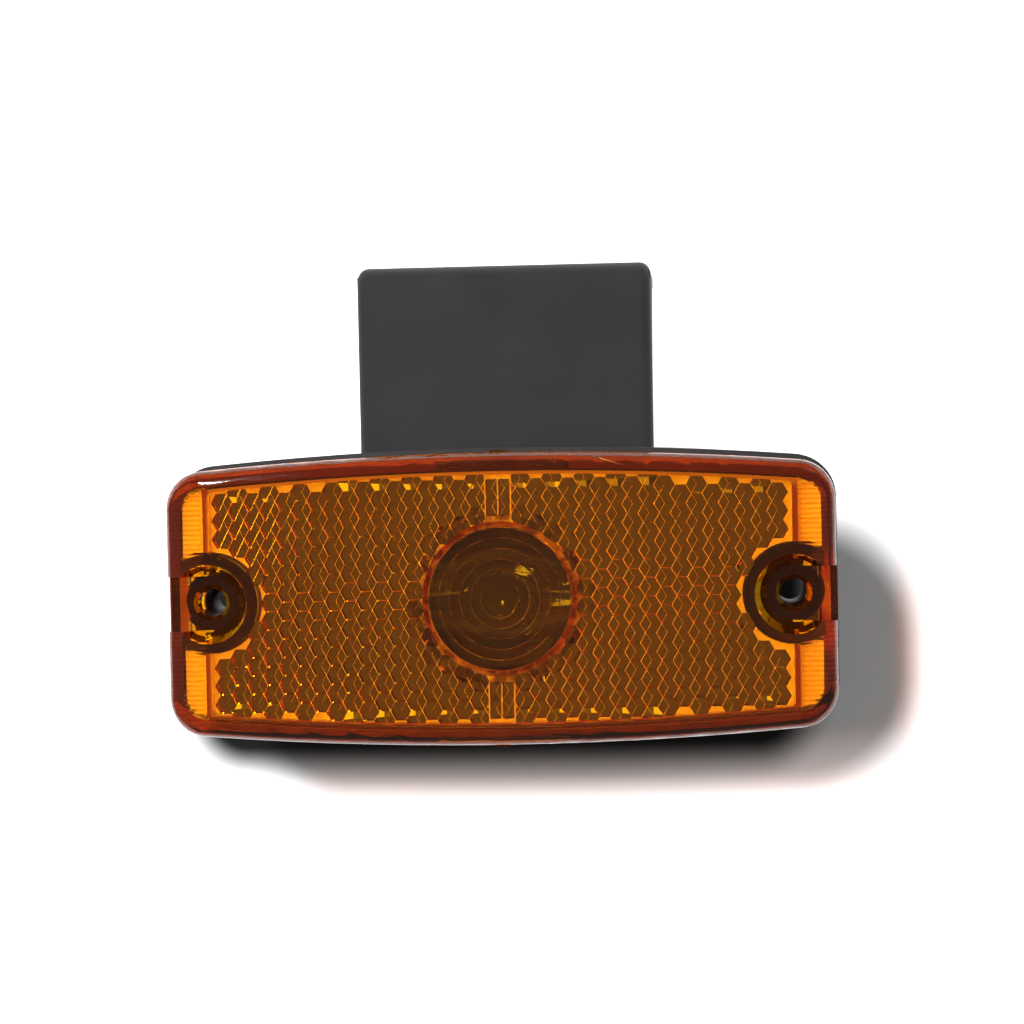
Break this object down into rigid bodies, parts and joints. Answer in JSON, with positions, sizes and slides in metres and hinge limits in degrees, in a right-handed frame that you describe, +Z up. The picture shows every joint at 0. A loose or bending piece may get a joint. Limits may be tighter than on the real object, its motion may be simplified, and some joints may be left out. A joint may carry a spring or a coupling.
{
  "type": "side marker lamp",
  "caption": "Amber rectangular vehicle side marker lamp with reflex prisms and a bullseye optic, hung under a black angle bracket with slotted holes.",
  "frame": {"origin": "middle of the bracket's two slots, on its upper mounting face", "axes": "+Z up, out of the mounting face; +X along the lamp; the light leaves towards -Y"},
  "size_m": [0.1044, 0.058, 0.0756],
  "materials": {
    "amber_lens": "clear amber, polished outside, faceted inside",
    "white_plastic": "satin white moulding",
    "grey_foam": "closed-cell foam",
    "black_rubber": "matt",
    "black_housing": "fine grained black moulding",
    "bulb_glass": "clear",
    "tungsten": "drawn wire",
    "nickel_cap": "pressed and nickel plated",
    "spring_brass": "stamped strip",
    "zinc_steel": "zinc plated",
    "black_bracket": "satin black moulding"
  },
  "bodies": {
    "root": {"lens": "amber_lens", "reflex_backing": "white_plastic", "lens_gasket": "grey_foam", "base_housing": "black_housing", "bulb_envelope": "bulb_glass", "bulb_filament": "tungsten", "bulb_cap_left": "nickel_cap", "bulb_cap_right": "nickel_cap", "bulb_lead_left": "tungsten", "bulb_lead_right": "tungsten", "contact_left": "spring_brass", "contact_right": "spring_brass", "terminal_screws": "zinc_steel", "terminal_clamps": "zinc_steel", "terminal_nuts": "spring_brass", "cable_grommet": "black_rubber", "bracket": "black_bracket", "bracket_washers": "zinc_steel", "bracket_screws": "zinc_steel"}
  },
  "joints": []
}
